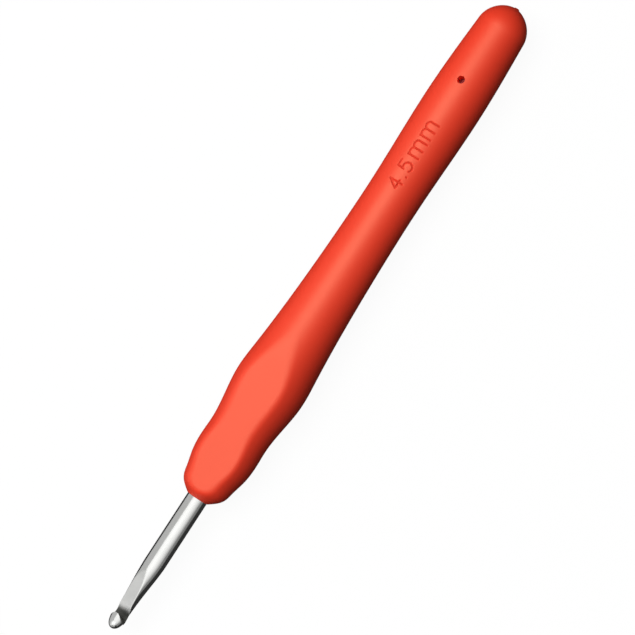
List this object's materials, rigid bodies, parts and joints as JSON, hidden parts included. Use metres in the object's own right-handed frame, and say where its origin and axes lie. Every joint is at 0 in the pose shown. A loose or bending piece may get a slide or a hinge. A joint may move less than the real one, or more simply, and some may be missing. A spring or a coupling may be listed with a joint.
{
  "type": "crochet hook",
  "caption": "Crochet hook with a polished metal needle and a long soft grip that has flat thumb and finger rests and a rounded end.",
  "frame": {"origin": "on the needle's axis, at the nose of the grip, where the needle comes out", "axes": "-X along the needle to the hook's tip, +X to the grip's round end, +Z out of the thumb rest, +Y across. The hook's mouth is turned 14 degrees from +Z towards +Y."},
  "size_m": [0.15, 0.0154, 0.014],
  "materials": {
    "needle": "polished, with very fine marks along the shaft",
    "core": "plain moulded, hidden inside the grip",
    "grip": "soft matte elastomer with a fine satin skin"
  },
  "bodies": {
    "root": {"hook_needle": "needle", "handle_core": "core", "soft_grip": "grip"}
  },
  "joints": []
}
